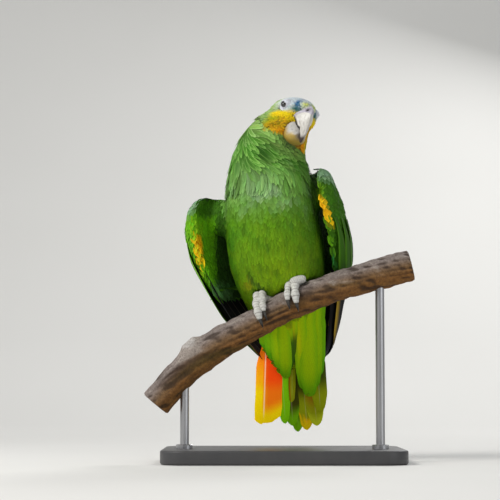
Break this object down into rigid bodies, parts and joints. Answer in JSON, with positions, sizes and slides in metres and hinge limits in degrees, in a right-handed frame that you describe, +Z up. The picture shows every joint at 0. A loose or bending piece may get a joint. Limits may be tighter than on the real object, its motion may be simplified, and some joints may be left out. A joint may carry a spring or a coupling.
{
  "type": "perched orange-winged amazon parrot on a display stand",
  "caption": "Life-size orange-winged amazon parrot, still, gripping a cut length of sloping branch held above a flat base by slim rods.",
  "frame": {"origin": "centre of the underside of the display base", "axes": "+Z up; -Y the way the bird's breast faces; +X to the bird's left, along the rise of the branch"},
  "size_m": [0.2424, 0.15, 0.3277],
  "materials": {
    "stand_base": "painted smooth pale satin",
    "stand_rods": "brushed",
    "perch": "rough lichened bark, cut ends",
    "crown_plumage": "short close feathers: pale blue crown, yellow cheek",
    "green_plumage": "overlapping soft green feathers",
    "flight_feathers": "smooth dark flight feathers",
    "tail_feathers": "smooth feathers, orange with yellow-green tips",
    "bill": "satin horn",
    "bare_skin": "soft grey bare skin",
    "eyes": "wet gloss",
    "feet": "dry pale scaled skin",
    "claws": "satin horn"
  },
  "bodies": {
    "root": {"stand_base": "stand_base", "stand_rod_right": "stand_rods", "stand_rod_left": "stand_rods", "perch": "perch", "head": "crown_plumage", "eye_right": "eyes", "eye_left": "eyes", "cere": "bare_skin", "bill_upper": "bill", "bill_lower": "bill", "neck": "green_plumage", "trunk": "green_plumage", "thigh_right": "green_plumage", "foot_right": "feet", "claw_right_1": "claws", "claw_right_2": "claws", "claw_right_3": "claws", "claw_right_4": "claws", "thigh_left": "green_plumage", "foot_left": "feet", "claw_left_1": "claws", "claw_left_2": "claws", "claw_left_3": "claws", "claw_left_4": "claws", "wing_right": "green_plumage", "wing_right_flight": "flight_feathers", "wing_left": "green_plumage", "wing_left_flight": "flight_feathers", "tail": "tail_feathers", "tail_coverts_under": "green_plumage", "tail_coverts_over": "green_plumage"}
  },
  "joints": []
}
